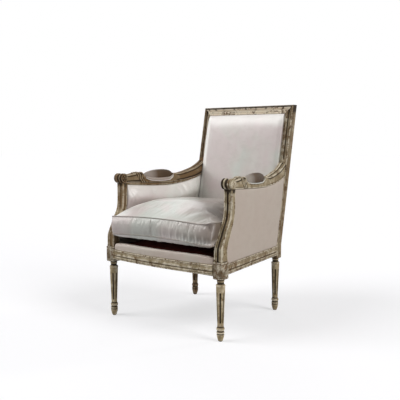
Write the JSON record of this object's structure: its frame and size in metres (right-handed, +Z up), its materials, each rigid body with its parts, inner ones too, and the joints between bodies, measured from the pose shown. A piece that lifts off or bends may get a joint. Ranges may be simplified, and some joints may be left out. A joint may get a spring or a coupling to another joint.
{
  "type": "bergere armchair",
  "caption": "Square-backed bergere armchair with fluted turned legs, scrolled closed arms, upholstered back and sides, and a deep loose seat cushion that lifts out.",
  "frame": {"origin": "bottom centre of the bounding box, on the floor under the middle of the chair", "axes": "+Z up, the sitter faces -Y, +X to the sitter's left"},
  "size_m": [0.675, 0.7408, 1],
  "materials": {
    "painted_wood": "chalky cream-grey paint, worn to brown on edges and in the mouldings",
    "plain_wood": "unfinished beech, sawn",
    "satin": "silvery pink-grey satin weave",
    "platform_cloth": "dark matt cotton",
    "jute": "coarse woven jute",
    "lining": "thin black bottoming cloth",
    "steel": "bright wire and plated steel"
  },
  "bodies": {
    "frame": {"front_leg_left": "painted_wood", "front_leg_right": "painted_wood", "rear_post_left": "painted_wood", "rear_post_right": "painted_wood", "crest_rail": "painted_wood", "back_bottom_rail": "plain_wood", "front_seat_rail": "painted_wood", "rear_seat_rail": "painted_wood", "side_seat_rail_left": "painted_wood", "side_seat_rail_right": "painted_wood", "arm_rail_left": "painted_wood", "arm_rail_right": "painted_wood", "arm_support_left": "painted_wood", "arm_support_right": "painted_wood", "corner_block_front_left": "plain_wood", "corner_block_front_right": "plain_wood", "corner_block_rear_left": "plain_wood", "corner_block_rear_right": "plain_wood", "screw_front_rail_left": "steel", "screw_front_rail_right": "steel", "screw_side_rail_front_left": "steel", "screw_side_rail_front_right": "steel", "screw_rear_rail_left": "steel", "screw_rear_rail_right": "steel", "screw_side_rail_rear_left": "steel", "screw_side_rail_rear_right": "steel", "glide_front_left": "steel", "glide_front_right": "steel", "glide_rear_left": "steel", "glide_rear_right": "steel", "webbing_lengthwise_right": "jute", "webbing_lengthwise_middle": "jute", "webbing_lengthwise_left": "jute", "webbing_crosswise_front": "jute", "webbing_crosswise_rear": "jute", "spring_front_right": "steel", "spring_front_middle": "steel", "spring_front_left": "steel", "spring_rear_right": "steel", "spring_rear_middle": "steel", "spring_rear_left": "steel", "dust_cover": "lining", "seat_deck": "platform_cloth", "front_border": "satin", "back_pad": "satin", "back_hessian": "jute", "back_outside_cover": "satin", "side_pad_left": "satin", "side_pad_right": "satin", "side_cover_left": "satin", "side_cover_right": "satin", "arm_pad_left": "satin", "arm_pad_right": "satin"},
    "cushion": {"seat_cushion": "satin", "cushion_welt_bottom": "satin", "cushion_welt_top": "satin"}
  },
  "joints": [
    {"name": "cushion_lift_out", "type": "slide", "parent": "frame", "child": "cushion", "axis": [0, -0.9397, 0.342], "range_m": [0, 0.65]}
  ]
}
